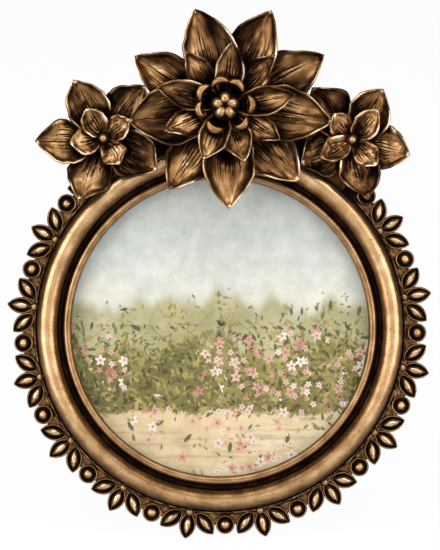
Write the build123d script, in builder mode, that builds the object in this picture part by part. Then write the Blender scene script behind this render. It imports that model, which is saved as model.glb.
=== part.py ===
from build123d import *
import os
from math import atan, cos, degrees, hypot, radians, sin

# Round photo frame: a half-round ring with a leaf-and-bead border and a crest of three flowers.
# It leans back on an easel strut. +Z is up, the picture faces -Y, and the origin lies on the table
# under the middle of the standing frame. Sizes are in millimetres and degrees.

# Picture stack, from the front: glass, print, back board
print_diameter = 100.0
lip_cover = 2.0
rebate_clearance = 0.5
glass_thickness = 2.0
print_thickness = 0.4
board_thickness = 3.0

# Ring, from the sight edge outwards: a beaded lip, a groove and a half-round roll
bead_width = 2.8
groove_width = 2.0
roll_width = 6.4
lip_depth = 2.2
groove_drop = 0.4
ring_depth = 13.0

# Leaf-and-bead border: trios of leaves between roundels, round the outside of the ring
border_pitch = 21.75
border_turn = 1.5
border_first, border_last = -6, 6
band_width = 3.4
band_depth = 3.6
leaf_length = 8.6
leaf_width = 5.4
leaf_rim = 0.75
leaf_rim_height = 5.6
leaf_hollow = 1.2
leaf_ridge_height = 5.9
leaf_ridge_length = 5.7
leaf_ridge_width = 2.9
leaf_ridge_flat = 0.2
leaf_root_reach = 1.4
side_leaf_reach = 4.4
side_leaf_turn = 5.0
side_leaf_splay = 47.0
roundel_radius = 3.1
roundel_reach = 4.5
roundel_rim = 0.6
roundel_dome_radius = 1.7
seed_radius = 1.0
seed_reach = 1.1
seed_height = 6.0

# Flowers: where each stands on the crest, and its petals as (direction, reach from the flower's axis)
centre_flower_reach, centre_flower_turn = 11.7, 1.3
left_flower_reach, left_flower_turn = 12.2, -31.6
right_flower_reach, right_flower_turn = 14.6, 35.1
centre_outer_petals = (
    (105, 33.0), (65, 34.5), (27, 35.5), (-5, 34.0), (-48, 33.5),
    (-86, 33.0), (-124, 32.0), (188, 31.0), (150, 33.0),
)
centre_inner_petals = (
    (83, 20.3), (46, 22.3), (6, 22.5), (-30, 21.0), (-73, 19.3),
    (-110, 19.0), (203, 21.2), (165, 22.4), (127, 21.2),
)
cup_petal_count = 7
cup_petal_turn = 0.0
left_outer_petals = ((116, 20.8), (54, 21.6), (182, 21.7), (248, 21.4), (-35, 19.5))
left_inner_petals = ((117, 10.9), (34, 9.6), (191, 10.8), (-58, 9.6))
right_outer_petals = ((54, 18.7), (-11, 19.1), (-77, 19.4), (206, 17.7), (124, 21.2))
right_inner_petals = ((44, 12.3), (130, 9.9), (204, 12.2), (-49, 10.9))

# Petal shapes: root is the start's distance from the flower's axis, lift the slope away from the frame,
# cup the depth of the trough and arch the rise of the middle
centre_outer_shape = dict(root=3.0, lift=14.0, width=16.6, cup=3.2, arch=1.6, thickness=1.6)
centre_inner_shape = dict(root=2.5, lift=24.0, width=9.6, cup=2.0, arch=1.2, thickness=1.3)
cup_shape = dict(root=4.4, lift=60.0, width=7.6, cup=1.8, arch=-0.9, thickness=1.1)
side_outer_shape = dict(root=2.0, lift=15.0, width=14.2, cup=2.4, arch=1.4, thickness=1.4)
side_inner_shape = dict(root=1.2, lift=20.0, width=8.6, cup=1.4, arch=0.8, thickness=1.2)

# Crest pads behind the flowers, then the hubs that carry each flower's whorls, one on another
pad_depth = 8.0
centre_pad_radius = 12.0
side_pad_radius = 7.0
centre_hub_radius = 7.0
centre_hub_height = 5.0
inner_hub_radius = 5.5
inner_hub_height = 3.4
cup_hub_radius = 5.0
cup_hub_height = 1.8
hub_cover = 2.0
upper_hub_cover = 1.0
cup_petal_reach = 8.9
stamen_count = 5
stamen_radius = 1.8
stamen_circle = 2.2
stamen_height = 3.4
side_hub_radius = 4.5
side_hub_height = 3.0
side_hub_cover = 1.4
side_inner_hub_radius = 3.0
side_inner_hub_height = 2.4
side_inner_hub_cover = 0.8
flower_bead_radius = 1.3
flower_bead_height = 1.8

# Back hardware
button_length = 15.0
button_width = 6.0
button_thickness = 0.8
button_gap = 0.1
button_end = 3.0
screw_radius = 1.45
screw_length = 7.0
screw_head_radius = 2.6
screw_head_height = 1.1
screw_clearance = 0.08
button_count = 4
button_turn = 45.0

# Easel: how far the frame leans, how wide the strut opens, and its hinge
lean = 14.0
strut_opening = 28.0
base_reach = 7.55
hinge_share = 0.24
knuckle_clearance = 0.3
pin_radius = 1.0
pin_fit = 0.02
pin_running_fit = 0.05
knuckle_radius = 2.2
knuckle_length = 4.0
centre_knuckle_length = 9.4
knuckle_gap = 0.2
plate_width = 26.0
plate_height = 15.0
plate_thickness = 1.0
leaf_thickness = 0.8
strut_leaf_length = 22.0
strut_thickness = 3.0
strut_top_width = 18.0
strut_foot_width = 34.0
strut_start = 3.0
stop_gap = 0.05
rivet_radius = 1.2
rivet_fit = 0.05
rivet_head_radius = 2.2
rivet_head_height = 0.6
rivet_blind = 0.4

# Worked-out sizes
sight_radius = print_diameter / 2 - lip_cover
rebate_radius = print_diameter / 2 + rebate_clearance
rebate_depth = glass_thickness + print_thickness + board_thickness
bead_spring = rebate_depth + lip_depth
bead_radius = bead_width / 2
groove_floor = bead_spring - groove_drop
groove_outer = sight_radius + bead_width + groove_width
roll_radius = roll_width / 2
roll_centre = groove_outer + roll_radius
ring_outer = groove_outer + roll_width
roll_spring = ring_depth - roll_radius
button_circle = (rebate_radius + ring_outer) / 2
base_trim = ring_outer + base_reach
hinge_height = hinge_share * print_diameter
hinge_standoff = plate_thickness + knuckle_clearance + knuckle_radius
strut_back = knuckle_radius - leaf_thickness
strut_front = strut_thickness - strut_back
strut_lean = strut_opening - lean

# The standing frame's planes. PICTURE lies on the ring's back with its normal towards the viewer.
FRONT = Vector(0, -cos(radians(lean)), sin(radians(lean)))
ring_height = base_trim * cos(radians(lean))
hinge_rise = hinge_height * cos(radians(lean)) - hinge_standoff * sin(radians(lean))
hinge_back = hinge_height * sin(radians(lean)) + hinge_standoff * cos(radians(lean))
hinge_above_table = ring_height + hinge_rise
strut_reach = (hinge_above_table + strut_back * sin(radians(strut_lean))) / cos(radians(strut_lean))
foot_back = hinge_back + strut_reach * sin(radians(strut_lean)) + strut_back * cos(radians(strut_lean))
ring_front = roll_centre * sin(radians(lean)) + roll_spring * cos(radians(lean)) + roll_radius
ring_y = (ring_front - foot_back) / 2
PICTURE = Plane(origin=(0, ring_y, ring_height), x_dir=(1, 0, 0), z_dir=FRONT)
HINGE = Plane(
    origin=(0, ring_y + hinge_back, hinge_above_table),
    x_dir=(1, 0, 0),
    z_dir=(0, cos(radians(strut_lean)), sin(radians(strut_lean))),
)
TABLE = Plane.XY

os.makedirs("parts", exist_ok=True)


def save(piece, label):
    """Labels a finished piece and writes its file."""
    piece.label = label
    export_step(piece, f"parts/{label}.step")


def crest_point(reach, turn):
    """Where a flower stands: its distance beyond the ring and its turn from straight up, clockwise."""
    radius = ring_outer + reach
    return (radius * sin(radians(turn)), radius * cos(radians(turn)))


centre_flower = crest_point(centre_flower_reach, centre_flower_turn)
left_flower = crest_point(left_flower_reach, left_flower_turn)
right_flower = crest_point(right_flower_reach, right_flower_turn)
flower_pads = (
    (centre_flower, centre_pad_radius), (left_flower, side_pad_radius), (right_flower, side_pad_radius)
)


# Ring frame: the cast ring with its rebate, and the pad that carries the flowers
ring_section = Plane(origin=PICTURE.origin, x_dir=PICTURE.x_dir, z_dir=-PICTURE.y_dir)

with BuildPart() as ring_frame:
    with BuildSketch(ring_section):
        with BuildLine():
            Polyline(
                (ring_outer, roll_spring),
                (ring_outer, 0),
                (rebate_radius, 0),
                (rebate_radius, rebate_depth),
                (sight_radius, rebate_depth),
                (sight_radius, bead_spring),
            )
            ThreePointArc(
                (sight_radius, bead_spring),
                (sight_radius + bead_radius, bead_spring + bead_radius),
                (sight_radius + bead_width, bead_spring),
            )
            Polyline(
                (sight_radius + bead_width, bead_spring),
                (sight_radius + bead_width, groove_floor),
                (groove_outer, groove_floor),
                (groove_outer, roll_spring),
            )
            ThreePointArc((groove_outer, roll_spring), (roll_centre, ring_depth), (ring_outer, roll_spring))
        make_face()
    revolve(axis=Axis(PICTURE.origin, PICTURE.z_dir))
    for point, radius in flower_pads:
        with BuildSketch(PICTURE):
            with BuildLine():
                CenterArc(point, radius, 0, 360)
                CenterArc((0, 0), radius, 0, 360)
            make_hull()
            Circle(roll_centre, mode=Mode.SUBTRACT)
        extrude(amount=pad_depth)
    with BuildSketch(PICTURE):
        with PolarLocations(button_circle, button_count, button_turn):
            Circle(screw_radius)
    extrude(amount=screw_length, mode=Mode.SUBTRACT)
save(ring_frame.part, "ring_frame")


# Leaf border: a flat band that carries trios of hollow leaves, roundels and seeds
leaf_outline = [(0, 0)] + [
    (leaf_length * along, leaf_width * share)
    for along, share in ((0.14, 0.29), (0.36, 0.47), (0.58, 0.46), (0.8, 0.28))
]
leaf_outline += [(leaf_length, 0)] + [(x, -y) for x, y in reversed(leaf_outline[1:])]
leaf_hollow_floor = leaf_rim_height - leaf_hollow
leaf_ridge_rise = leaf_ridge_height - leaf_hollow_floor
leaf_ridge_inset = leaf_ridge_length * leaf_ridge_width / hypot(leaf_ridge_length, leaf_ridge_width) / 2
leaf_ridge_taper = degrees(atan(leaf_ridge_inset * (1 - leaf_ridge_flat) / leaf_ridge_rise))

with BuildPart() as border_leaf:
    with BuildSketch():
        with BuildLine():
            Polyline(*leaf_outline, close=True)
        make_face()
    extrude(amount=leaf_rim_height)
    with BuildSketch(Plane.XY.offset(leaf_rim_height)):
        with BuildLine():
            Polyline(*leaf_outline, close=True)
            offset(amount=-leaf_rim, mode=Mode.REPLACE, kind=Kind.INTERSECTION)
        make_face()
    extrude(amount=-leaf_hollow, mode=Mode.SUBTRACT)
    with BuildSketch(Plane.XY.offset(leaf_hollow_floor)):
        with BuildLine():
            Polyline(
                ((leaf_length - leaf_ridge_length) / 2, 0),
                (leaf_length / 2, leaf_ridge_width / 2),
                ((leaf_length + leaf_ridge_length) / 2, 0),
                (leaf_length / 2, -leaf_ridge_width / 2),
                close=True,
            )
        make_face()
    extrude(amount=leaf_ridge_rise, taper=leaf_ridge_taper)

with BuildPart() as border_roundel:
    with BuildSketch(Plane.XZ):
        with BuildLine():
            Polyline(
                (0, leaf_hollow_floor),
                (0, 0),
                (roundel_radius, 0),
                (roundel_radius, leaf_rim_height),
                (roundel_radius - roundel_rim, leaf_rim_height),
                (roundel_dome_radius, leaf_hollow_floor),
                close=True,
            )
        make_face()
    revolve(axis=Axis.Z)
    with Locations((0, 0, leaf_hollow_floor)):
        Sphere(roundel_dome_radius)

with BuildPart() as border_seed:
    Cylinder(seed_radius, seed_height - seed_radius / 2, align=(Align.CENTER, Align.CENTER, Align.MIN))
    chamfer(border_seed.faces().sort_by(Axis.Z)[-1].edges(), length=seed_radius / 2)


def border_place(angle, reach, splay=0.0):
    """A place on the border: its angle from straight down towards +X, reach beyond the ring, and splay."""
    return PICTURE.location * Rot(0, 0, angle - 90) * Pos(ring_outer + reach, 0, 0) * Rot(0, 0, splay)


band_start = border_turn + border_pitch * (border_first - 0.5) - side_leaf_turn
band_end = border_turn + border_pitch * border_last + side_leaf_turn
side_leaf_root = Pos(-leaf_length / 2, 0, 0)
side_leaf_angle = side_leaf_splay - side_leaf_turn
ornaments = []
for i in range(border_first, border_last + 1):
    roundel_angle = border_turn + border_pitch * i
    trio_angle = roundel_angle - border_pitch / 2
    ornaments.append(border_place(roundel_angle, roundel_reach) * border_roundel.part)
    ornaments.append(border_place(trio_angle, seed_reach) * border_seed.part)
    ornaments.append(border_place(trio_angle, leaf_root_reach) * border_leaf.part)
    for side in (-1, 1):
        side_angle = trio_angle + side * side_leaf_turn
        leaf_place = border_place(side_angle, side_leaf_reach, side * side_leaf_angle)
        ornaments.append(leaf_place * side_leaf_root * border_leaf.part)

with BuildPart() as leaf_border:
    with BuildSketch(PICTURE):
        Circle(ring_outer + band_width)
        Circle(ring_outer - roll_radius / 2, mode=Mode.SUBTRACT)
        with BuildLine():
            Polyline(
                (0, 0),
                (2 * ring_outer * sin(radians(band_end)), -2 * ring_outer * cos(radians(band_end))),
                (2 * ring_outer * sin(radians(band_start)), -2 * ring_outer * cos(radians(band_start))),
                close=True,
            )
        make_face(mode=Mode.SUBTRACT)
    extrude(amount=band_depth)
    add(ornaments)
    add(ring_frame.part, mode=Mode.SUBTRACT)
    split(bisect_by=TABLE, keep=Keep.TOP)
save(leaf_border.part, "leaf_border")


# Petals: each is a cupped blade, skinned over trough-shaped sections from its root to its tip
petal_stations = ((0.0, 0.34), (0.28, 0.82), (0.54, 1.0), (0.82, 0.64), (1.0, 0.07))


def petal(length, width, cup, arch, thickness):
    """Blade along +X with its hollow side up."""
    sections = []
    for along, share in petal_stations:
        half, dip = width * share / 2, cup * share
        x, rise = length * along, 4 * arch * along * (1 - along)
        trough = ((-half, dip), (-half * 0.5, dip * 0.22), (half * 0.5, dip * 0.22), (half, dip))
        under = ((half, dip - thickness), (0, -thickness), (-half, dip - thickness))
        sections.append([(x, y, rise + z) for y, z in trough + under])
    skins = [sections[0], sections[-1]]
    for near, far in zip(sections, sections[1:]):
        for i in range(len(near)):
            skins.append([near[i - 1], near[i], far[i], far[i - 1]])
    return Solid(Shell([Face(Wire.make_polygon(skin)) for skin in skins]))


def petals_round(point, seat, directions, root, lift, **shape):
    """Petals placed round a flower's axis, from their directions and reaches."""
    flower = PICTURE.location * Pos(point[0], point[1], seat)
    placed = []
    for direction, reach in directions:
        blade = petal((reach - root) / cos(radians(lift)), **shape)
        placed.append(flower * Rot(0, 0, direction) * Pos(root, 0, 0) * Rot(0, -lift, 0) * blade)
    return placed


def whorl(point, hub_radius, hub_base, hub_top, petals, carriers):
    """One ring of petals on its hub, cut to the shape of what carries it."""
    with BuildPart() as piece:
        with BuildSketch(PICTURE.offset(hub_base)):
            with Locations(point):
                Circle(hub_radius)
        extrude(amount=hub_top - hub_base)
        add(petals)
        add(carriers, mode=Mode.SUBTRACT)
    return piece.part


# Centre flower: two whorls of nine petals, a cup of curled petals and a knot of stamens
centre_hub_top = pad_depth + centre_hub_height
inner_hub_top = centre_hub_top + inner_hub_height
cup_hub_top = inner_hub_top + cup_hub_height

centre_outer = whorl(
    centre_flower, centre_hub_radius, pad_depth, centre_hub_top,
    petals_round(centre_flower, centre_hub_top - hub_cover, centre_outer_petals, **centre_outer_shape),
    [ring_frame.part],
)
save(centre_outer, "centre_flower_outer_petals")

centre_inner = whorl(
    centre_flower, inner_hub_radius, centre_hub_top, inner_hub_top,
    petals_round(centre_flower, inner_hub_top - upper_hub_cover, centre_inner_petals, **centre_inner_shape),
    [centre_outer],
)
save(centre_inner, "centre_flower_inner_petals")

cup_petals = [(360 / cup_petal_count * i, cup_petal_reach) for i in range(cup_petal_count)]
centre_cup = whorl(
    centre_flower, cup_hub_radius, inner_hub_top, cup_hub_top,
    petals_round(centre_flower, cup_hub_top - upper_hub_cover, cup_petals, **cup_shape),
    [centre_outer, centre_inner],
)
save(centre_cup, "centre_flower_cup")

with BuildPart() as stamen:
    Cylinder(stamen_radius, stamen_height, align=(Align.CENTER, Align.CENTER, Align.MIN))
    chamfer(stamen.faces().sort_by(Axis.Z)[-1].edges(), length=stamen_radius / 2)

knot = PICTURE.location * Pos(centre_flower[0], centre_flower[1], cup_hub_top)
stamen_turns = [360 / stamen_count * i for i in range(stamen_count)]
stamen_places = [knot * Rot(0, 0, turn) * Pos(stamen_circle, 0, 0) for turn in stamen_turns]

with BuildPart() as stamens:
    with BuildSketch(PICTURE.offset(cup_hub_top)):
        with Locations(centre_flower):
            Circle(stamen_circle)
    extrude(amount=stamen_height / 2)
    with Locations(stamen_places):
        add(stamen.part)
    add(centre_cup, mode=Mode.SUBTRACT)
save(stamens.part, "centre_flower_stamens")


# Side flowers: an open whorl, a smaller one above it and a bead
side_hub_top = pad_depth + side_hub_height
side_inner_hub_top = side_hub_top + side_inner_hub_height
side_flowers = (
    ("left_flower", left_flower, left_outer_petals, left_inner_petals),
    ("right_flower", right_flower, right_outer_petals, right_inner_petals),
)

for name, point, outer_petals, inner_petals in side_flowers:
    outer = whorl(
        point, side_hub_radius, pad_depth, side_hub_top,
        petals_round(point, side_hub_top - side_hub_cover, outer_petals, **side_outer_shape),
        [ring_frame.part, centre_outer],
    )
    save(outer, f"{name}_outer_petals")

    inner = whorl(
        point, side_inner_hub_radius, side_hub_top, side_inner_hub_top,
        petals_round(point, side_inner_hub_top - side_inner_hub_cover, inner_petals, **side_inner_shape),
        [outer, centre_outer],
    )
    save(inner, f"{name}_inner_petals")

    with BuildPart() as bead:
        with BuildSketch(PICTURE.offset(side_inner_hub_top)):
            with Locations(point):
                Circle(flower_bead_radius)
        extrude(amount=flower_bead_height)
        bead_top = bead.faces().sort_by(Axis(PICTURE.origin, PICTURE.z_dir))[-1]
        chamfer(bead_top.edges(), length=flower_bead_radius / 2)
        add(inner, mode=Mode.SUBTRACT)
    save(bead.part, f"{name}_bead")


# Picture stack: discs that drop into the rebate from behind
hinge_rivet_row = hinge_height + plate_height / 2
hinge_rivet_spread = plate_width / 2 - 2 * rivet_head_radius
hinge_rivet_places = ((-hinge_rivet_spread, hinge_rivet_row), (hinge_rivet_spread, hinge_rivet_row))

with BuildPart() as glass_pane:
    with BuildSketch(PICTURE.offset(board_thickness + print_thickness)):
        Circle(print_diameter / 2)
    extrude(amount=glass_thickness)
save(glass_pane.part, "glass_pane")

with BuildPart() as photo_print:
    with BuildSketch(PICTURE.offset(board_thickness)):
        Circle(print_diameter / 2)
    extrude(amount=print_thickness)
save(photo_print.part, "photo_print")

with BuildPart() as back_board:
    with BuildSketch(PICTURE):
        Circle(print_diameter / 2)
        with Locations(*hinge_rivet_places):
            Circle(rivet_radius + rivet_fit, mode=Mode.SUBTRACT)
    extrude(amount=board_thickness)
save(back_board.part, "back_board")


# Turn buttons that hold the board in, each on its screw
button_plane = PICTURE.offset(-button_gap - button_thickness)
screw_plane = PICTURE.offset(-2 * button_gap - button_thickness)
button_names = ("upper_right", "upper_left", "lower_left", "lower_right")

for place, name in enumerate(button_names):
    angle = button_turn + 360 / button_count * place
    pivot = (button_circle * cos(radians(angle)), button_circle * sin(radians(angle)))
    with BuildPart() as turn_button:
        with BuildSketch(button_plane):
            with Locations(Location((pivot[0], pivot[1], 0), (0, 0, angle))):
                with Locations((button_end - button_length / 2, 0)):
                    SlotOverall(button_length, button_width)
                Circle(screw_radius + screw_clearance, mode=Mode.SUBTRACT)
        extrude(amount=button_thickness)
    save(turn_button.part, f"turn_button_{name}")

with BuildPart() as button_screws:
    with BuildSketch(screw_plane):
        with PolarLocations(button_circle, button_count, button_turn):
            Circle(screw_head_radius)
    extrude(amount=-screw_head_height)
    with BuildSketch(screw_plane):
        with PolarLocations(button_circle, button_count, button_turn):
            Circle(screw_radius)
    extrude(amount=screw_length)
save(button_screws.part, "turn_button_screws")


# Strut hinge: a plate with two knuckles on the board, a pin, and a leaf with a heel on the strut
pin_plane = Plane(origin=HINGE.origin, x_dir=HINGE.y_dir, z_dir=HINGE.x_dir)
outer_knuckle_start = centre_knuckle_length / 2 + knuckle_gap

with BuildPart() as hinge_plate:
    with BuildSketch(PICTURE.offset(-plate_thickness)):
        with Locations((0, hinge_height + plate_height / 2 - knuckle_radius)):
            RectangleRounded(plate_width, plate_height, knuckle_radius)
        with Locations(*hinge_rivet_places):
            Circle(rivet_radius + rivet_fit, mode=Mode.SUBTRACT)
    extrude(amount=plate_thickness)
    for start in (outer_knuckle_start, -outer_knuckle_start - knuckle_length):
        with BuildSketch(pin_plane.offset(start)):
            Circle(knuckle_radius)
        extrude(amount=knuckle_length)
        with BuildSketch(PICTURE.offset(-plate_thickness)):
            with Locations((start + knuckle_length / 2, hinge_height)):
                Rectangle(knuckle_length, 2 * knuckle_radius)
        extrude(amount=plate_thickness - hinge_standoff)
    with BuildSketch(pin_plane):
        Circle(pin_radius + pin_fit)
    extrude(amount=plate_width, both=True, mode=Mode.SUBTRACT)
save(hinge_plate.part, "hinge_plate")

with BuildPart() as hinge_pin:
    with BuildSketch(pin_plane):
        Circle(pin_radius)
    extrude(amount=outer_knuckle_start + knuckle_length, both=True)
save(hinge_pin.part, "hinge_pin")

with BuildPart() as hinge_rivets:
    with BuildSketch(PICTURE.offset(-plate_thickness)):
        with Locations(*hinge_rivet_places):
            Circle(rivet_head_radius)
    extrude(amount=-rivet_head_height)
    with BuildSketch(PICTURE.offset(-plate_thickness)):
        with Locations(*hinge_rivet_places):
            Circle(rivet_radius)
    extrude(amount=plate_thickness + board_thickness - rivet_blind)
save(hinge_rivets.part, "hinge_rivets")


# Strut: a tapered board that hangs from the leaf; the leaf's heel meets the plate when it is open
plate_from_pin = hinge_standoff - plate_thickness
heel_reach = plate_from_pin - stop_gap + strut_back * cos(radians(strut_opening))
heel_length = heel_reach / sin(radians(strut_opening))
strut_rivet_places = ((0, strut_leaf_length * 0.45), (0, strut_leaf_length * 0.8))

with BuildPart() as strut_hinge_leaf:
    with BuildSketch(HINGE.offset(strut_back)):
        with Locations((0, (strut_leaf_length - heel_length) / 2)):
            Rectangle(centre_knuckle_length, strut_leaf_length + heel_length)
        with Locations(*strut_rivet_places):
            Circle(rivet_radius + rivet_fit, mode=Mode.SUBTRACT)
    extrude(amount=leaf_thickness)
    with BuildSketch(pin_plane.offset(-centre_knuckle_length / 2)):
        Circle(knuckle_radius)
    extrude(amount=centre_knuckle_length)
    with BuildSketch(pin_plane):
        Circle(pin_radius + pin_running_fit)
    extrude(amount=centre_knuckle_length, both=True, mode=Mode.SUBTRACT)
save(strut_hinge_leaf.part, "strut_hinge_leaf")

with BuildPart() as easel_strut:
    with BuildSketch(HINGE.offset(-strut_front)):
        with BuildLine():
            Polyline(
                (-strut_top_width / 2, strut_start),
                (strut_top_width / 2, strut_start),
                (strut_foot_width / 2, strut_reach + strut_thickness),
                (-strut_foot_width / 2, strut_reach + strut_thickness),
                close=True,
            )
        make_face()
        with Locations(*strut_rivet_places):
            Circle(rivet_radius + rivet_fit, mode=Mode.SUBTRACT)
    extrude(amount=strut_thickness)
    split(bisect_by=TABLE, keep=Keep.TOP)
save(easel_strut.part, "easel_strut")

with BuildPart() as strut_rivets:
    with BuildSketch(HINGE.offset(knuckle_radius)):
        with Locations(*strut_rivet_places):
            Circle(rivet_head_radius)
    extrude(amount=rivet_head_height)
    with BuildSketch(HINGE.offset(knuckle_radius)):
        with Locations(*strut_rivet_places):
            Circle(rivet_radius)
    extrude(amount=rivet_blind - leaf_thickness - strut_thickness)
save(strut_rivets.part, "strut_rivets")
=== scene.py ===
import math
import random

import bpy
from mathutils import Matrix, Vector, noise


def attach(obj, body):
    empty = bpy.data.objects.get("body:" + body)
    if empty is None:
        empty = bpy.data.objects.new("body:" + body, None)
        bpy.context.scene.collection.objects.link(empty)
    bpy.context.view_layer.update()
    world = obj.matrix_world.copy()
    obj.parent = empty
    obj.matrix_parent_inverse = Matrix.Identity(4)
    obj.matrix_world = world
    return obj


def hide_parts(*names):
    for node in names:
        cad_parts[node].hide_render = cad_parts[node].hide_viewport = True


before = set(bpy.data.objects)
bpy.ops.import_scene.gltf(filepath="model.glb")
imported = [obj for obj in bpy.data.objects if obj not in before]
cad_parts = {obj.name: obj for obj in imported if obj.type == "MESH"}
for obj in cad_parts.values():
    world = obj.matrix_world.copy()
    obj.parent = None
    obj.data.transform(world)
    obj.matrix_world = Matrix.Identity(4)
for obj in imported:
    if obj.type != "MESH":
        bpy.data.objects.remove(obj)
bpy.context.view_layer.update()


# Ring: the hoop of the frame, cast in resin as one piece with a beaded lip over the glass, a groove
# and a half-round roll, and with three tongues behind that carry the flowers. It is painted bronze,
# given a dark wash that stays in the hollows, and rubbed bright where a hand would touch it. Low on
# the roll painted shade darkens that tone, and the web between the tongues is painted shade.
MM = 0.001
LEAN_BACK = math.radians(14)
ring_place = (
    Matrix.Translation((0, -3.0659 * MM, 64.7672 * MM))
    @ Matrix.Rotation(math.pi / 2 - LEAN_BACK, 4, "X")
)
sight_radius, bead_radius, bead_spring = 48.0, 1.4, 7.6
nick_depth, nick_foot, nick_middle, nick_top = 0.15, 6.4, 6.9, 7.2
groove_inner, groove_outer, groove_floor = 50.8, 52.25, 7.2
roll_centre, roll_radius, roll_height, roll_spring = 55.55, 3.3, 3.2, 9.8
wall_radius, wall_top, wall_foot = 58.85, 6.0, 5.0
ring_outer, step_height, back_edge = 59.2, 4.6, 0.5
rebate_radius, rebate_edge, rebate_depth = 50.5, 0.3, 5.4
ring_steps, ring_front, grain_radius = 288, 7.0, 56
back_tone, groove_tone, tongue_tone = 0.3, 0.15, 0.22
flower_places = {
    "centre_flower": (70.9, 1.3), "left_flower": (71.4, -31.6), "right_flower": (73.8, 35.1),
}
flower_points = {
    name: (reach * math.sin(math.radians(turn)), reach * math.cos(math.radians(turn)))
    for name, (reach, turn) in flower_places.items()
}
tongue_radii = {"centre_flower": 12.0, "left_flower": 7.0, "right_flower": 7.0}
tongue_back, tongue_depth, tongue_edge, cutter_depth = 0.04, 8.0, 0.6, 30
web_from, web_to, web_inner, web_outer = 40.0, -46.0, ring_outer - 0.8, 68.2
web_back, web_front, web_edge = 0.4, 6.0, 0.6


def colour(code):
    """Linear colour of an sRGB hex code."""
    parts = [int(code[i : i + 2], 16) / 255 for i in (1, 3, 5)]
    return [p / 12.92 if p <= 0.04045 else ((p + 0.055) / 1.055) ** 2.4 for p in parts] + [1.0]


def add_node(tree, kind, sockets=None, stops=(), **settings):
    """Adds a node with its settings and its ramp's stops. A socket gets a value, or is linked to an
    output or to a node's first output."""
    made = tree.nodes.new("ShaderNode" + kind)
    for name, value in settings.items():
        setattr(made, name, value)
    for key, value in (sockets or {}).items():
        if isinstance(value, bpy.types.Node):
            value = value.outputs[0]
        if isinstance(value, bpy.types.NodeSocket):
            tree.links.new(value, made.inputs[key])
        else:
            made.inputs[key].default_value = value
    for place, (position, code) in enumerate(stops):
        if place > 1:
            made.color_ramp.elements.new(position)
        made.color_ramp.elements[place].position = position
        made.color_ramp.elements[place].color = colour(code)
    return made


def start_material(name):
    """A new material and its empty node tree."""
    material = bpy.data.materials.new(name)
    material.use_nodes = True
    material.node_tree.nodes.clear()
    return material, material.node_tree


def ease(low, high, x):
    """Rises smoothly from 0 at low to 1 at high."""
    x = min(1.0, max(0.0, (x - low) / (high - low)))
    return x * x * (3 - 2 * x)


def hump(x, middle, spread):
    """1 at the middle, falling off smoothly on both sides."""
    return math.exp(-(((x - middle) / spread) ** 2))


def line_through(points, x):
    """Height at x of a smooth line through points."""
    for i in range(len(points) - 1):
        (x0, y0), (x1, y1) = points[i], points[i + 1]
        if x <= x1 or i == len(points) - 2:
            before, after = points[max(i - 1, 0)], points[min(i + 2, len(points) - 1)]
            slope0 = (y1 - before[1]) / (x1 - before[0])
            slope1 = (after[1] - y0) / (after[0] - x0)
            t, step = (x - x0) / (x1 - x0), x1 - x0
            return (
                (2 * t**3 - 3 * t**2 + 1) * y0
                + (t**3 - 2 * t**2 + t) * step * slope0
                + (3 * t**2 - 2 * t**3) * y1
                + (t**3 - t**2) * step * slope1
            )


def arc(middle, radius, height, start, end, steps):
    """Points of a section along part of an ellipse, from start to end in degrees from its top."""
    turns = [math.radians(start + (end - start) * i / steps) for i in range(steps + 1)]
    return [(middle[0] + radius * math.sin(a), middle[1] + height * math.cos(a)) for a in turns]


def only(piece):
    """Selects this piece alone."""
    if bpy.context.object and bpy.context.object.mode == "EDIT":
        bpy.ops.object.mode_set(mode="OBJECT")
    bpy.ops.object.select_all(action="DESELECT")
    piece.select_set(True)
    bpy.context.view_layer.objects.active = piece


def settle(piece, place):
    """Moves a piece to its place and takes that place up into its mesh."""
    only(piece)
    piece.matrix_world = place
    bpy.ops.object.transform_apply(location=True, rotation=True, scale=True)


def draw_section(name, points):
    """A section in the radius-height plane, drawn from one vertex on. Left in edit mode."""
    bpy.ops.object.select_all(action="DESELECT")
    bpy.ops.mesh.primitive_plane_add(size=MM)
    piece = bpy.context.object
    piece.name = name
    bpy.ops.object.mode_set(mode="EDIT")
    bpy.ops.mesh.select_all(action="SELECT")
    bpy.ops.mesh.merge(type="CENTER")
    bpy.ops.transform.translate(value=(points[0][0] * MM, 0, points[0][1] * MM))
    for (r0, n0), (r1, n1) in zip(points, points[1:]):
        step = ((r1 - r0) * MM, 0, (n1 - n0) * MM)
        bpy.ops.mesh.extrude_vertices_move(TRANSFORM_OT_translate={"value": step})
    bpy.ops.mesh.select_all(action="SELECT")
    return piece


def spin_section(steps, sweep=360, start=0):
    """Spins the drawn section round the Z axis. An open sweep is capped and turned to its start."""
    bpy.ops.mesh.spin(steps=steps, angle=math.radians(sweep), center=(0, 0, 0), axis=(0, 0, 1))
    bpy.ops.mesh.select_all(action="SELECT")
    bpy.ops.mesh.remove_doubles(threshold=0.002 * MM)
    if sweep < 360:
        bpy.ops.mesh.fill_holes(sides=0)
    bpy.ops.mesh.normals_make_consistent(inside=False)
    if sweep < 360:
        bpy.ops.transform.rotate(
            value=-math.radians(start), orient_axis="Z", center_override=(0, 0, 0)
        )
    bpy.ops.object.mode_set(mode="OBJECT")


def add_cylinder(radius, depth, height, point=(0, 0), vertices=48):
    """A cylinder with its middle at a height over a point of the ring's plane."""
    bpy.ops.object.select_all(action="DESELECT")
    bpy.ops.mesh.primitive_cylinder_add(
        vertices=vertices, radius=radius * MM, depth=depth * MM,
        location=(point[0] * MM, point[1] * MM, height * MM),
    )
    bpy.ops.object.transform_apply(location=True, rotation=True, scale=True)
    return bpy.context.object


def cut_away(piece, cutter):
    """Cuts one piece out of another."""
    only(piece)
    cut = piece.modifiers.new("cut", "BOOLEAN")
    cut.operation, cut.object = "DIFFERENCE", cutter
    bpy.ops.object.modifier_apply(modifier="cut")


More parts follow.
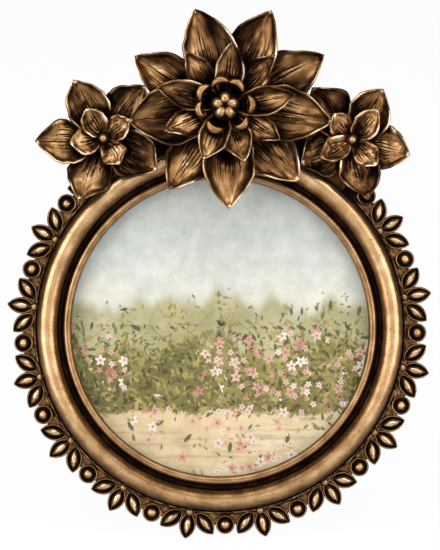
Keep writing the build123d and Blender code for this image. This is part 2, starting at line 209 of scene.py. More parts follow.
def soften(piece, width, bend=30):
    """Rounds the edges that bend by more than so many degrees."""
    only(piece)
    bevel = piece.modifiers.new("soften", "BEVEL")
    bevel.width, bevel.segments = width * MM, 2
    bevel.limit_method, bevel.angle_limit = "ANGLE", math.radians(bend)
    bpy.ops.object.modifier_apply(modifier="soften")


def paint(piece, tone):
    """Stores per vertex its tone, with painted light and shade, and how it is brushed (grain, mm).
    """
    rub_and_painted_light = piece.data.attributes.new("rub_and_painted_light", "FLOAT", "POINT")
    grain = piece.data.attributes.new("grain", "FLOAT_VECTOR", "POINT")
    for i, vertex in enumerate(piece.data.vertices):
        shade, across, along = tone(vertex.co / MM)
        rub_and_painted_light.data[i].value = shade
        grain.data[i].vector = (across, along, 0)


def join(name, pieces):
    """Joins pieces into one of that name."""
    only(pieces[0])
    for piece in pieces:
        piece.select_set(True)
    bpy.ops.object.join()
    pieces[0].name = name
    pieces[0].data.name = name
    return pieces[0]


def fit(piece, material, node, angle=40):
    """Puts a finished piece in its place on the frame and lets it stand for its solid."""
    only(piece)
    piece.data.materials.clear()
    piece.data.materials.append(material)
    bpy.ops.object.shade_smooth_by_angle(angle=math.radians(angle))
    settle(piece, ring_place)
    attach(piece, "frame")
    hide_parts(node)


# Bronze-painted cast resin: metallic paint under a dark wash, dry-brushed with pale gold on the
# high parts. It looks satin, with soft clouds, fine brush streaks and small dark specks. The tone
# it reads from each vertex also holds painted shade and painted highlights.
bronze, tree = start_material("bronze_painted_resin")
cloud_size, speck_size, streak_width, streak_length = 5 * MM, 0.7 * MM, 0.5, 5
where = add_node(tree, "TexCoord").outputs["Object"]
rub_and_painted_light = add_node(tree, "Attribute", attribute_name="rub_and_painted_light").outputs["Fac"]
grain = add_node(tree, "Attribute", attribute_name="grain").outputs["Vector"]
clouds = add_node(tree, "TexNoise", {"Vector": where, "Scale": 1 / cloud_size, "Detail": 4})
streak_run = add_node(
    tree, "Mapping", {"Vector": grain, "Scale": (1 / streak_width, 1 / streak_length, 1)}
)
streaks = add_node(tree, "TexNoise", {"Vector": streak_run, "Scale": 1, "Detail": 3})
specks = add_node(tree, "TexNoise", {"Vector": where, "Scale": 1 / speck_size, "Detail": 2})
speck_dots = add_node(tree, "MapRange", {0: specks, 1: 0.62, 2: 0.76, 3: 0.0, 4: 0.2})
cloud_tone = add_node(tree, "Math", {0: clouds, 1: 0.4, 2: rub_and_painted_light}, operation="MULTIPLY_ADD")
streak_tone = add_node(
    tree, "Math", {0: streaks, 1: 0.22, 2: cloud_tone}, operation="MULTIPLY_ADD"
)
level_tone = add_node(tree, "Math", {0: streak_tone, 1: 0.31}, operation="SUBTRACT")
tone = add_node(
    tree, "Math", {0: level_tone, 1: speck_dots}, operation="SUBTRACT", use_clamp=True
)
bronze_colour = add_node(
    tree, "ValToRGB", {0: tone},
    stops=(
        (0.0, "#0B0502"), (0.14, "#1F1108"), (0.32, "#4C311A"),
        (0.52, "#84613C"), (0.72, "#BC986F"), (1.0, "#F2DFC1"),
    ),
)
bronze_rough = add_node(tree, "MapRange", {0: tone, 1: 0.0, 2: 1.0, 3: 0.38, 4: 0.22})
paint_height = add_node(tree, "Math", {0: specks, 1: streaks}, operation="ADD")
paint_bump = add_node(
    tree, "Bump", {"Height": paint_height, "Strength": 0.2, "Distance": 0.05 * MM}
)
bronze_paint = add_node(
    tree, "BsdfPrincipled",
    {
        "Base Color": bronze_colour, "Roughness": bronze_rough, "Normal": paint_bump,
        "Metallic": 0.9, "Specular IOR Level": 0.2,
    },
)
add_node(tree, "OutputMaterial", {"Surface": bronze_paint})

ring_section = [
    (sight_radius, rebate_depth), (sight_radius, nick_foot),
    (sight_radius + nick_depth, nick_middle), (sight_radius, nick_top),
]
bead_middle = (sight_radius + bead_radius, bead_spring)
ring_section += arc(bead_middle, bead_radius, bead_radius, -90, 90, 18)
ring_section += [
    (groove_inner, groove_floor + 0.15), (groove_inner + 0.2, groove_floor),
    (groove_outer - 0.3, groove_floor), (groove_outer, groove_floor + 0.4),
]
ring_section += arc((roll_centre, roll_spring), roll_radius, roll_height, -90, 90, 32)
ring_section += [
    (wall_radius, wall_top), (wall_radius, wall_foot), (ring_outer, step_height),
    (ring_outer, back_edge), (ring_outer - back_edge, 0), (rebate_radius + rebate_edge, 0),
    (rebate_radius, rebate_edge), (rebate_radius, rebate_depth), (sight_radius, rebate_depth),
]
ring = draw_section("ring", ring_section)
spin_section(ring_steps)

roll_rub = (
    (-1.0, 0.26), (-0.85, 0.38), (-0.6, 0.55), (-0.3, 0.66), (0.1, 0.69), (0.4, 0.7), (0.7, 0.55),
    (0.88, 0.32), (1.0, 0.16),
)
bead_rub = (
    (-1.0, 0.3), (-0.75, 0.66), (-0.4, 0.5), (0.0, 0.56), (0.5, 0.66), (0.8, 0.46), (1.0, 0.12),
)


def ring_tone(point):
    """Bright on the bead and over the roll, dark in the groove, painted shade low on the roll."""
    radius, height = math.hypot(point.x, point.y), point.z
    around = math.atan2(point.x, -point.y)
    if height < ring_front:
        shade = back_tone
    elif radius < groove_inner:
        outwards = (radius - sight_radius - bead_radius) / bead_radius
        shade = line_through(bead_rub, max(-1.0, min(1.0, outwards)))
    elif radius < groove_outer:
        shade = groove_tone
    else:
        outwards = (radius - roll_centre) / roll_radius
        shade = line_through(roll_rub, max(-1.0, min(1.0, outwards)))
        # Painted shade: low on the ring the roll darkens, most on its inner flank and its outer
        # half
        flank, outer_half = hump(outwards, -0.5, 0.17), ease(0.1, 0.6, outwards)
        low_painted_shade = ease(0.0, 0.9, -point.y / radius)
        shade -= (0.03 + 0.12 * outer_half + 0.17 * flank) * low_painted_shade
    return shade, radius + height, around * grain_radius


paint(ring, ring_tone)

# Each tongue is a hull from the ring's middle to its flower, cut off under the roll
roll_cutter = add_cylinder(roll_centre, cutter_depth, 0, vertices=ring_steps)
tongues = []
for name, (x, u) in flower_points.items():
    tongue = add_cylinder(
        tongue_radii[name], tongue_depth, tongue_depth / 2 + tongue_back, (x, u), vertices=72
    )
    bpy.ops.object.mode_set(mode="EDIT")
    bpy.ops.mesh.select_all(action="SELECT")
    bpy.ops.mesh.duplicate_move(TRANSFORM_OT_translate={"value": (-x * MM, -u * MM, 0)})
    bpy.ops.mesh.select_all(action="SELECT")
    bpy.ops.mesh.convex_hull()
    bpy.ops.object.mode_set(mode="OBJECT")
    cut_away(tongue, roll_cutter)
    soften(tongue, tongue_edge, bend=50)
    paint(tongue, lambda point: (tongue_tone, point.x, point.y))
    tongues.append(tongue)
bpy.data.objects.remove(roll_cutter)

# A web closes the gaps between the tongues; its near-black tone is painted shade between the
# flowers
web_section = [
    (web_inner, web_back), (web_inner, web_front + 0.4), (web_outer - web_edge, web_front),
    (web_outer, web_front - web_edge), (web_outer, web_back + web_edge),
    (web_outer - web_edge, web_back), (web_inner, web_back),
]
web = draw_section("web", web_section)
spin_section(90, web_from - web_to, 90 + web_from)
paint(web, lambda point: (0.06 + 0.1 * noise.noise(point / 3), point.x, point.y))
ring = join("ring", [ring, *tongues, web])
fit(ring, bronze, "ring_frame")


# Leaf border: a flat cast band glued round the ring, with trios of leaves between roundels, and a
# seed at the root of each trio. A leaf has a raised rim and a spindle in its hollow. Dark wash
# fills the hollows, and the rims, spindles and domes are rubbed bright; the crests of the spindles,
# the tops of the domes and the seeds also get painted highlights.
border_pitch, border_turn, border_half = 21.75, 1.5, 6
leaf_length, leaf_width, leaf_rim_height, leaf_floor = 8.56, 5.4, 5.6, 4.35
leaf_sides = (
    (0, 0.02), (0.06, 0.17), (0.14, 0.31), (0.36, 0.48), (0.58, 0.48), (0.8, 0.34), (0.92, 0.18),
    (1, 0.03),
)
leaf_rows, leaf_columns = 30, 24
leaf_reach, side_leaf_reach, side_leaf_turn, side_leaf_splay = 1.4, 4.4, 5, 42
spindle_half, spindle_height = 1.75, 1.75
dome_radius, dome_height, dome_base = 1.95, 1.8, 4.3
roundel_radius, roundel_reach = 3.1, 4.5
seed_radius, seed_middle, seed_reach = 1.3, 4.9, 1.1
band_width, band_depth, band_inner, band_past = 4.8, 3.6, -1.2, 5.0
band_front, band_grain_radius = 3.2, 60
pit_size, pit_depth = 0.55, 0.22
ornament_back, dark_back = 0.08, 0.1

bpy.ops.object.select_all(action="DESELECT")
bpy.ops.mesh.primitive_grid_add(x_subdivisions=leaf_rows, y_subdivisions=leaf_columns, size=2)
border_leaf = bpy.context.object
leaf_rub_and_highlight = []
for vertex in border_leaf.data.vertices:
    along = (1 - math.cos(math.pi * (vertex.co.x + 1) / 2)) / 2
    half = leaf_width * line_through(leaf_sides, along)
    side = half * math.copysign(1 - (1 - abs(vertex.co.y)) ** 1.5, vertex.co.y)
    edge = (half - abs(side)) * 0.88
    rim, brink = hump(edge, 0.26, 0.19), ease(0.16, 0.0, edge)
    ridge_half = spindle_half * max(0.0, 1 - ((along - 0.5) / 0.4) ** 2) ** 0.8
    ridge = max(0.0, 1 - math.hypot(side, 0.25) / ridge_half) if ridge_half > 0.3 else 0.0
    channel = leaf_floor + 0.5 * ease(0.32, 0.5, abs(along - 0.5))
    height = channel + (leaf_rim_height - channel) * max(ease(0.85, 0.42, edge), rim) - 0.35 * brink
    lumps = noise.noise((along * 5, side * 0.9, 3.3))
    height += (spindle_height + 0.5 * lumps) * ridge**0.85 * min(1.0, ridge_half / 1.4)
    # The spindle's crest is rubbed bright and gets a painted highlight along it
    ridge_rub_and_highlight = 0.28 * ease(0.0, 0.2, ridge) + 0.36 * ease(0.25, 0.65, ridge)
    leaf_rub_and_highlight.append(0.1 + 0.5 * rim + ridge_rub_and_highlight - 0.14 * brink)
    vertex.co = Vector((leaf_length * along, side, height)) * MM
leaf_shades = iter(leaf_rub_and_highlight)
paint(border_leaf, lambda point: (next(leaf_shades), point.y, point.x))
bpy.ops.object.mode_set(mode="EDIT")
bpy.ops.mesh.select_all(action="DESELECT")
bpy.ops.mesh.select_mode(type="EDGE")
bpy.ops.mesh.select_non_manifold()
bpy.ops.mesh.extrude_edges_move(TRANSFORM_OT_translate={"value": (0, 0, -2 * MM)})
bpy.ops.transform.resize(value=(1, 1, 0), center_override=(0, 0, ornament_back * MM))
bpy.ops.mesh.edge_face_add()
bpy.ops.mesh.select_all(action="SELECT")
bpy.ops.mesh.normals_make_consistent(inside=False)
bpy.ops.mesh.select_mode(type="VERT")
bpy.ops.object.mode_set(mode="OBJECT")
for i, vertex in enumerate(border_leaf.data.vertices):
    if vertex.co.z < 1 * MM:
        border_leaf.data.attributes["rub_and_painted_light"].data[i].value = dark_back

roundel_section = arc((0, dome_base), dome_radius, dome_height, 0, 90, 10)
roundel_section += [
    (2.35, dome_base), (2.5, 4.8), (2.66, 5.3), (2.84, 5.35), (3.02, 5.2), (roundel_radius, 4.8),
    (roundel_radius, ornament_back), (0, ornament_back),
]
border_roundel = draw_section("roundel", roundel_section)
spin_section(40)
roundel_rub_and_highlight = (
    (0.0, 0.78), (0.6, 0.7), (1.1, 0.46), (1.5, 0.3), (1.9, 0.14), (2.3, 0.04), (2.5, 0.16),
    (2.66, 0.52), (2.84, 0.6), (3.02, 0.34), (3.1, 0.1),
)


def roundel_tone(point):
    """Bright dome with a painted highlight at its top, bright rim, dark between and on the back."""
    radius = min(roundel_radius, math.hypot(point.x, point.y))
    shade = line_through(roundel_rub_and_highlight, radius) if point.z > 1 else dark_back
    return shade, math.atan2(point.x, point.y) * 2, point.z


paint(border_roundel, roundel_tone)

seed_section = arc((0, seed_middle), seed_radius, seed_radius, 0, 90, 8)
seed_section += [(1.2, 4.3), (seed_radius, ornament_back), (0, ornament_back)]
border_seed = draw_section("seed", seed_section)
spin_section(24)
# Painted highlight: the seed is lighter towards its top
paint(border_seed, lambda p: (0.08 + 0.52 * ease(4.8, 5.8, p.z), math.atan2(p.x, p.y), p.z))

band_start = border_turn - border_pitch * (border_half + 0.5) - band_past
band_end = border_turn + border_pitch * border_half + band_past
band_line = [(band_inner, 0.4), (band_inner, 3.0), (0.3, 3.0), (0.65, 4.1), (1.0, 4.15)]
band_line += [(1.25, 3.7), *((1.5 + 0.3 * i, band_depth) for i in range(11))]
band_line += [(band_width, band_depth - 0.3), (band_width, 0), (0.2, 0), (band_inner, 0.4)]
band = draw_section("band", [(ring_outer + past, height) for past, height in band_line])
spin_section(420, band_end - band_start, band_end - 90)
for vertex in band.data.vertices:
    if vertex.co.z > 3.5 * MM:
        vertex.co.z += pit_depth * MM * noise.noise(vertex.co / (pit_size * MM))


def band_tone(point):
    """A bright line along the ring, then a rough web with paint left in its pits."""
    past = math.hypot(point.x, point.y) - ring_outer
    along = math.atan2(point.x, point.y) * band_grain_radius
    if point.z <= band_front:
        return dark_back, past, along
    pits = noise.noise(Vector((point.x, point.y, 0)) / pit_size)
    return 0.42 + 0.3 * pits + 0.14 * hump(past, 0.85, 0.24), past, along


paint(band, band_tone)


def at(x, y=0, z=0):
    """A move in millimetres."""
    return Matrix.Translation((x * MM, y * MM, z * MM))


def turned(degrees, axis="Z"):
    """A turn about an axis."""
    return Matrix.Rotation(math.radians(degrees), 4, axis)


def round_the_ring(degrees, reach, splay=0.0):
    """A place on the border: turned from straight down towards +X, past the ring, and splayed."""
    return turned(degrees - 90) @ at(ring_outer + reach) @ turned(splay)


def put_copy(model, place):
    """A copy of the model, with its own mesh, at a place."""
    copy = model.copy()
    copy.data = model.data.copy()
    bpy.context.collection.objects.link(copy)
    settle(copy, place)
    return copy


ornaments = [band]
side_root = at(-leaf_length / 2)
for i in range(-border_half, border_half + 1):
    roundel_turn = border_turn + border_pitch * i
    trio_turn = roundel_turn - border_pitch / 2
    for model, place in (
        (border_roundel, round_the_ring(roundel_turn, roundel_reach)),
        (border_seed, round_the_ring(trio_turn, seed_reach)),
        (border_leaf, round_the_ring(trio_turn, leaf_reach)),
    ):
        ornaments.append(put_copy(model, place))
    for way in (-1, 1):
        side_turn, splay = trio_turn + way * side_leaf_turn, way * side_leaf_splay
        place = round_the_ring(side_turn, side_leaf_reach, splay) @ side_root
        ornaments.append(put_copy(border_leaf, place))
for model in (border_leaf, border_roundel, border_seed):
    bpy.data.objects.remove(model)
border = join("leaf_border_cast", ornaments)
fit(border, bronze, "leaf_border", angle=35)

# The lowest leaves are cut flat where the frame stands on the table
only(border)
bpy.ops.object.mode_set(mode="EDIT")
bpy.ops.mesh.select_all(action="SELECT")
bpy.ops.mesh.bisect(
    plane_co=(0, 0, 0), plane_no=(0, 0, 1), clear_inner=True, use_fill=True, threshold=1e-7
)
bpy.ops.object.mode_set(mode="OBJECT")


# Flowers: three blooms of cast resin, glued one whorl on another to the tongues. Each petal is a
# cupped blade with a rolled rim and veins cut in from the root, and the petals of a whorl overlap.
petal_sides = (
    (0.0, 0.34), (0.14, 0.6), (0.28, 0.83), (0.42, 0.96), (0.54, 1.0), (0.68, 0.9), (0.82, 0.65),
    (0.92, 0.37), (0.97, 0.19), (1.0, 0.02),
)
spoon_sides = (
    (0.0, 0.52), (0.25, 0.8), (0.5, 0.97), (0.7, 1.0), (0.84, 0.88), (0.93, 0.64), (0.98, 0.34),
    (1.0, 0.03),
)
rim_steps = (0.0, 0.06, 0.14, 0.24, 0.36, 0.52, 0.74, 1.1)
rim_reach, rim_roll = rim_steps[-1], 0.7
vein_spacing, vein_depth, burr_height = 0.19, 0.42, 0.12
petal_sway, hub_edge = 6.0, 0.6


def make_petal(
    seed, length, width, under, cup, arch, thickness, veins, wave, rows=54, curl=0.0,
    sides=petal_sides, tone=0.25, painted_shade=0.0, rim_tone=0.55, root_dark=0.3, rim_size=1.35,
    vein_cut=1.0, wear=1.0, turn_out=0.9,
):
    """One petal along +X with its hollow side up. A side that lies under its neighbour is flat:
    under says so for the left side (1) and the right side (-1)."""
    chance = random.Random(seed)
    cup, curl = cup * chance.uniform(0.85, 1.2), curl * chance.uniform(-0.3, 1.5)
    bend, lopsided = chance.uniform(-0.05, 0.05), chance.uniform(-0.08, 0.08)
    vein_places = [
        -0.86 + 1.72 * (k + 0.5) / veins + chance.uniform(-0.07, 0.07) for k in range(veins)
    ]
    vein_ends = [0.58 + 0.26 * (1 - abs(v)) + chance.uniform(-0.18, 0.12) for v in vein_places]
    vein_depths = [vein_cut * chance.uniform(0.5, 1.0) for v in vein_places]

    # The grid's columns are close together in the rims and beside each vein
    fine = vein_spacing / (0.5 * width)
    beside_veins = {v + fine * k for v in vein_places for k in (-1.6, -0.75, 0, 0.75, 1.6)}
    inner = [v for v in sorted({-1.0, 1.0} | beside_veins) if -1 <= v <= 1]
    inner = sorted(inner + [(a + b) / 2 for a, b in zip(inner, inner[1:]) if b - a > 2.2 * fine])
    columns = [(-1, d) for d in rim_steps] + [(0, v) for v in inner[1:-1]]
    columns += [(1, d) for d in reversed(rim_steps)]
    bpy.ops.object.select_all(action="DESELECT")
    bpy.ops.mesh.primitive_grid_add(x_subdivisions=rows, y_subdivisions=len(columns) - 1, size=2)
    petal = bpy.context.object
    rub_and_painted_light = petal.data.attributes.new("rub_and_painted_light", "FLOAT", "POINT")
    grain = petal.data.attributes.new("grain", "FLOAT_VECTOR", "POINT")
    walls, backs = [], []
    for i, vertex in enumerate(petal.data.vertices):
        # Where it lies: s from root to tip, y across, q from midrib to side, edge in from the rim
        s = (vertex.co.x + 1) / 2
        s -= 0.5 * math.sin(2 * math.pi * s) / (2 * math.pi)
        side, step = columns[round((vertex.co.y + 1) / 2 * (len(columns) - 1))]
        left = side or math.copysign(1, step)
        share = line_through(sides, s)
        uneven = 0.13 * noise.noise((s * 4.2, left * 3, seed * 7.3))
        nibbled = 0.05 * noise.noise((s * 10, left * 3, seed * 3.9))
        half = max(0.5 * width * share * (1 + left * lopsided + uneven + nibbled), 0.1)
        rim_width = min(rim_reach * rim_size, 0.6 * half)
        y = side * (half - step * rim_width / rim_reach) if side else step * (half - rim_width)
        q, edge = abs(y) / half, min(half - abs(y), length * (1 - s)) / rim_size
        tip, fold_out = ease(0.72, 1.0, s), ease(0.1, 0.4, s)

        # The rolled rim, the hollow inside it, and the veins with their burrs
        worn = noise.noise((s * 6, left * 5, seed * 5.1))
        lip = 1.4 * noise.noise((s * 2.6, left * 6, seed * 8.7)) + 0.35 * ease(0.8, 1.0, s)
        lip = min(1.25, max(0.08, 1 + wear * (lip - 0.25)))
        rim = hump(edge, 0.36, 0.3 + 0.14 * lip + 0.1 * worn) * ease(0.0, 0.14, s)
        inside = hump(edge, 1.15, 0.42) * ease(0.0, 0.2, s)
        cut = shadow = burr = 0.0
        if not side:
            for place, end, depth in zip(vein_places, vein_ends, vein_depths):
                away = (step - place) * (half - rim_width)
                run = ease(0.0, 0.1, s) * (1 - ease(end - 0.22, end, s)) * depth
                broken = 0.85 + 1.3 * noise.noise((s * 9, place * 7, seed * 1.9))
                run *= min(1.0, max(0.15, broken))
                cut += run * hump(away, 0, 0.14)
                shadow += run * hump(away, 0, 0.16)
                burr += run * hump(abs(away), 0.31, 0.13)
        cut, shadow, burr = min(cut, 1.0), min(shadow, 1.0), min(burr, 1.0)

        # Its height: cupped, arched, curled at the tip, rolled at the rim, wavy and lumpy
        free = 1 - 0.9 * under[left] * (1 - ease(0.62, 0.86, s))
        z = cup * (share + 0.22 * tip) * q**2.2 * free - 0.9 * (1 - free) * q * q
        z += 4 * arch * s * (1 - s) + curl * tip + 0.8 * tip * q * q
        z += rim_roll * (0.5 + 0.5 * lip) * rim - 0.14 * inside - 0.3 * ease(0.2, 0.0, edge)
        z += burr_height * burr - vein_depth * cut
        z -= turn_out * ease(1.4, 0.0, edge) ** 1.4 * fold_out
        z += wave * q**2.5 * fold_out * noise.noise((s * 2.8 + seed * 1.7, left * 4, 2.1))
        lumps = 1.5 * noise.noise((s * 3.2, y / 3.8, seed * 3.1))
        lumps += 0.5 * noise.noise((s * 8, y / 1.9, seed * 6.1))
        z += lumps * (1 - q) * ease(0.1, 0.5, s)
        y += bend * length * s * s

        # Its tone: patchy, bright on rim and burrs, dark at the root and in the veins. Over the
        # wash and
        # the rubbing lie painted light and shade: a painted highlight on the belly, painted glints
        # that come and go along the rim, sheen in the patches, and painted shade at the root,
        # inside the rim, at the tip, on a rim that lies under its neighbour and over some whole
        # petals.
        patch = noise.noise((s * 2.6, y / 5, seed * 2.3))
        patch += 0.5 * noise.noise((s * 7, y / 1.8, seed * 4.7))
        shade = tone - painted_shade + 0.33 * patch + 0.18 * ease(0.35, 0.7, s) * (1 - q * q)
        shade -= root_dark * (1 - ease(0.04, 0.42, s)) * (1 - 0.4 * rim)
        shade += (rim_tone * lip * (0.4 + 0.6 * free) + 0.16 * worn) * rim - 0.13 * inside
        shade += 0.24 * burr - 0.62 * shadow - 0.1 * tip * (1 - q)
        rub_and_painted_light.data[i].value = shade
        grain.data[i].vector = (y + 31 * seed, length * s, 0)
        round_edge = math.sqrt(1 - (1 - min(1.0, edge / 0.6)) ** 2)
        walls.append(thickness * round_edge * ease(0.0, 0.05, s) * MM)
        backs.append(0.26 + 0.3 * rim + 0.12 * patch)
        vertex.co = Vector((length * s, y, z)) * MM

    # The back is a copy of the face, a wall's thickness below it, and merges with it at the edge
    bpy.ops.object.mode_set(mode="EDIT")
    bpy.ops.mesh.select_all(action="SELECT")
    bpy.ops.mesh.duplicate()
    bpy.ops.mesh.flip_normals()
    bpy.ops.object.mode_set(mode="OBJECT")
    rub_and_painted_light = petal.data.attributes["rub_and_painted_light"].data
    for i, (wall, shade) in enumerate(zip(walls, backs), len(walls)):
        petal.data.vertices[i].co.z -= wall
        rub_and_painted_light[i].value = shade
    bpy.ops.object.mode_set(mode="EDIT")
    bpy.ops.mesh.select_all(action="SELECT")
    bpy.ops.mesh.remove_doubles(threshold=0.004 * MM)
    bpy.ops.object.mode_set(mode="OBJECT")
    return petal


def make_whorl(name, point, hub, hub_tone, seat, petals, root, lift, width, overlaps, **shape):
    """Petals round a short hub. Each has its direction and reach, some also a breadth and how much
    painted shade darkens them, and overlaps gives their lift over their neighbours in turn."""
    hub_radius, hub_base, hub_top = hub
    stem = add_cylinder(hub_radius, hub_top - hub_base, (hub_base + hub_top) / 2, point)
    soften(stem, hub_edge)
    # The hub's dark tone is painted shade under the petals' roots
    paint(stem, lambda p: (hub_tone, p.x, p.y))
    pieces = [stem]
    lifts = [overlaps[i % len(overlaps)] for i in range(len(petals))]
    order = sorted(range(len(petals)), key=lambda i: petals[i][0] % 360)
    for i, (direction, reach, *more) in enumerate(petals):
        chance = random.Random(i + 17 * len(name))
        tilt = lift + lifts[i]
        length = (reach - root) / math.cos(math.radians(tilt))
        after, before = order[(order.index(i) + 1) % len(order)], order[order.index(i) - 1]
        under = {1: lifts[after] > lifts[i], -1: lifts[before] > lifts[i]}
        breadth = more[0] if more else chance.uniform(0.97, 1.05)
        painted_shade = more[1] if len(more) > 1 else 0.0
        petal = make_petal(
            i + 10 * len(name), length, width * breadth, under, painted_shade=painted_shade, **shape
        )
        lean = turned(chance.uniform(-petal_sway, petal_sway), "X")
        settle(petal, at(*point, seat) @ turned(direction) @ at(root) @ turned(-tilt, "Y") @ lean)
        pieces.append(petal)
    return join(name, pieces)


centre_point = flower_points["centre_flower"]
centre_outer = (
    (106.5, 32.3, 1.06), (65, 33.8), (25, 35.5), (-6, 34.5, 1.1), (-48, 33.5), (-86, 33.0),
    (-124, 32.0), (188.5, 31.2, 1.2), (152.5, 33.0),
)
centre_inner = (
    (83, 20.3), (46, 22.3), (6, 22.5), (-30, 21.0), (-73, 19.3), (-110, 19.0), (203, 21.2),
    (165, 22.4), (127, 21.2),
)
whorl = make_whorl(
    "centre_outer_whorl", centre_point, (7.0, 8.0, 13.0), 0.04, 11.0, centre_outer,
    root=3.0, lift=14.0, width=16.6, overlaps=(0.0, -0.6, -2.2, 2.0, -1.5, 1.0, -1.5, 1.5, -1.2),
    cup=4.2, arch=1.6, thickness=1.4, veins=11, wave=1.8, curl=0.6,
)
fit(whorl, bronze, "centre_flower_outer_petals")
whorl = make_whorl(
    "centre_inner_whorl", centre_point, (5.5, 13.0, 16.4), 0.04, 15.4, centre_inner,
    root=2.5, lift=24.0, width=9.6, overlaps=(1.5, -1.0, 1.0, -1.5, 0.5),
    cup=2.8, arch=1.2, thickness=1.2, veins=7, wave=1.2, rows=44, curl=0.5, rim_size=1.15,
    turn_out=0.7,
)
fit(whorl, bronze, "centre_flower_inner_petals")

# The cup: short spoons that stand up, each with a thick rolled lip. The spoons are painted
# nearly black, as painted shade inside the cup.
cup_petals = (
    (0, 9.0), (55, 8.4), (100, 8.4), (149, 9.3), (194, 8.9), (240, 8.8), (310, 8.9),
)
spoon_past, lip_within, lip_tilt = 0.3, 0.2, 16
lip_thick, lip_half, lip_high, lip_droop = 1.3, 3.2, 1.1, 1.2
whorl = make_whorl(
    "centre_cup", centre_point, (5.0, 16.4, 18.2), 0.0, 17.2,
    [(turn, reach + spoon_past) for turn, reach in cup_petals],
    root=4.0, lift=36.0, width=7.4, overlaps=(2.0, -2.0, 1.0, -1.0, 2.0, -1.0, 0.0),
    cup=0.8, arch=-0.6, thickness=1.4, veins=2, wave=0.2, rows=48, turn_out=0.0,
    sides=spoon_sides, tone=0.02, rim_tone=0.3, root_dark=0.1, vein_cut=0.0, wear=0.2,
)
bpy.ops.object.select_all(action="DESELECT")
bpy.ops.mesh.primitive_uv_sphere_add(segments=40, ring_count=24, radius=MM)
cup_lip = bpy.context.object
# Painted highlight: each lip is lighter on top and towards its outer side, and darker at its ends
paint(
    cup_lip,
    lambda p: (0.04 + 0.5 * ease(-0.5, 0.6, p.z + 0.3 * p.x) - 0.25 * p.y**4, p.z, 3 * p.y),
)
for vertex in cup_lip.data.vertices:
    x, y, z = vertex.co / MM
    slim = 0.92 * math.sqrt(1 + y * y)
    lip_x, lip_z = lip_thick * (x * slim - y * y), lip_high * z * slim - lip_droop * y * y
    vertex.co = Vector((lip_x, lip_half * y, lip_z)) * MM
lips = []
for i, (turn, reach) in enumerate(cup_petals):
    chance = random.Random(i)
    place = (
        at(*centre_point, chance.uniform(21.6, 22.2))
        @ turned(turn + chance.uniform(-5, 5))
        @ at(reach - lip_within)
        @ turned(lip_tilt, "Y")
        @ turned(chance.uniform(-12, 12), "X")
        @ Matrix.Diagonal((chance.uniform(0.9, 1.1), chance.uniform(0.9, 1.1), 1, 1))
    )
    lips.append(put_copy(cup_lip, place))
bpy.data.objects.remove(cup_lip)
whorl = join("centre_cup", [whorl, *lips])
fit(whorl, bronze, "centre_flower_cup")

# The side flowers: the petals next to the centre flower are darkened by painted shade
left_outer = (
    (114, 20.8), (50, 21.6, 1.12, 0.08), (185, 21.7), (248, 21.4), (-33, 20.2, 1.14, 0.16),
)
left_inner = ((117, 10.9), (34, 10.6), (191, 10.8), (-58, 10.2))
right_outer = (
    (56, 18.7), (-14, 19.1), (-77, 19.4), (206, 18.4, 1.1, 0.1), (127, 21.2, 1.08, 0.16),
)
right_inner = ((46, 12.3), (128, 10.4), (208, 12.2), (-47, 11.6))
for name, outer, inner in (
    ("left_flower", left_outer, left_inner), ("right_flower", right_outer, right_inner),
):
    whorl = make_whorl(
        f"{name}_outer_whorl", flower_points[name], (4.5, 8.0, 11.0), 0.04, 9.6, outer,
        root=2.0, lift=15.0, width=14.2, overlaps=(1.5, -1.5, 1.0, -1.0, 0.5),
        cup=3.3, arch=1.4, thickness=1.3, veins=10, wave=2.0, curl=0.6, tone=0.29,
    )
    fit(whorl, bronze, f"{name}_outer_petals")
    whorl = make_whorl(
        f"{name}_inner_whorl", flower_points[name], (1.9, 11.0, 13.4), 0.12, 12.6, inner,
        root=0.8, lift=20.0, width=8.8, overlaps=(1.5, -1.0, 1.0, -1.5),
        cup=1.6, arch=0.8, thickness=1.1, veins=5, wave=1.4, rows=44, curl=0.5, root_dark=0.2,
        tone=0.37,
    )
    fit(whorl, bronze, f"{name}_inner_petals")


# Flower hearts: a knot of five stamens in the cup of the centre flower, and a bead in each side
# flower. They are cast in resin and glued into the whorl below, with a painted highlight on top.
stamen_radius, stamen_ring, stamen_height, stamen_tilt = 2.05, 2.2, 19.75, 14
middle_height, middle_size = 19.4, 0.5
knot_radius, knot_depth, knot_height, knot_edge = 3.4, 1.2, 18.7, 0.3
heart_bead_radius, heart_bead_middle, heart_bead_foot = 1.3, 13.9, 13.4

bpy.ops.object.select_all(action="DESELECT")
bpy.ops.mesh.primitive_uv_sphere_add(segments=32, ring_count=20, radius=stamen_radius * MM)
stamen = bpy.context.object
bpy.ops.object.mode_set(mode="EDIT")
bpy.ops.mesh.select_all(action="SELECT")
bpy.ops.transform.resize(value=(1.15, 0.92, 0.9), center_override=(0, 0, 0))
bpy.ops.object.mode_set(mode="OBJECT")
# Painted highlight: each stamen is lighter on top and towards its outer side
paint(stamen, lambda p: (0.62 * ease(0.3, 1.5, p.z + 0.35 * p.x), p.y, p.x))
heart = []
for i in range(5):
    out = turned(72 * i + 18) @ at(stamen_ring) @ turned(stamen_tilt, "Y")
    heart.append(put_copy(stamen, at(*centre_point, stamen_height) @ out))
middle_place = at(*centre_point, middle_height) @ Matrix.Scale(middle_size, 4)
heart.append(put_copy(stamen, middle_place))
bpy.data.objects.remove(stamen)
knot_base = add_cylinder(knot_radius, knot_depth, knot_height, centre_point, vertices=32)
soften(knot_base, knot_edge)
# The knot's base is painted nearly black, as painted shade under the stamens
paint(knot_base, lambda p: (0.02, p.x - centre_point[0], p.y - centre_point[1]))
heart.append(knot_base)
knot = join("stamen_knot", heart)
fit(knot, bronze, "centre_flower_stamens", angle=60)

